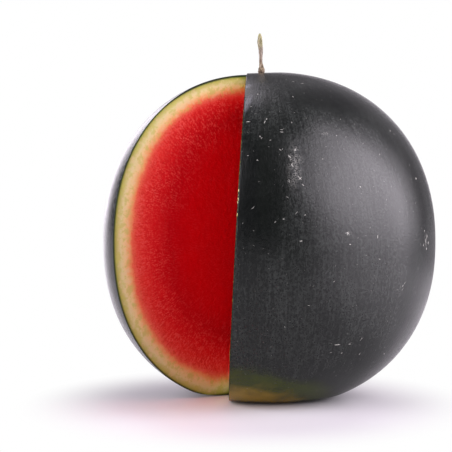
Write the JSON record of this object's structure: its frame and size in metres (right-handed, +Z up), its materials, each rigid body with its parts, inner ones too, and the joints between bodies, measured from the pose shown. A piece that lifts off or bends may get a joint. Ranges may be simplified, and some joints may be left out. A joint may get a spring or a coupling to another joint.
{
  "type": "watermelon",
  "caption": "Nearly round dark-skinned watermelon standing on its blossom end, one wedge cut out from top to base, with a dried stem.",
  "frame": {"origin": "middle of the flat spot that the fruit stands on", "axes": "+Z up through the fruit to the stem end; -Y is the front, and the missing wedge opens to the front left, between -Y and -X"},
  "size_m": [0.2506, 0.2494, 0.2744],
  "materials": {
    "fruit": "waxy near-black green skin with a soft shine, over pale rind and wet red flesh on the cut faces",
    "dried_stem": "dry, fibrous, straw to grey-brown"
  },
  "bodies": {
    "root": {"melon": "fruit", "stem": "dried_stem"}
  },
  "joints": []
}
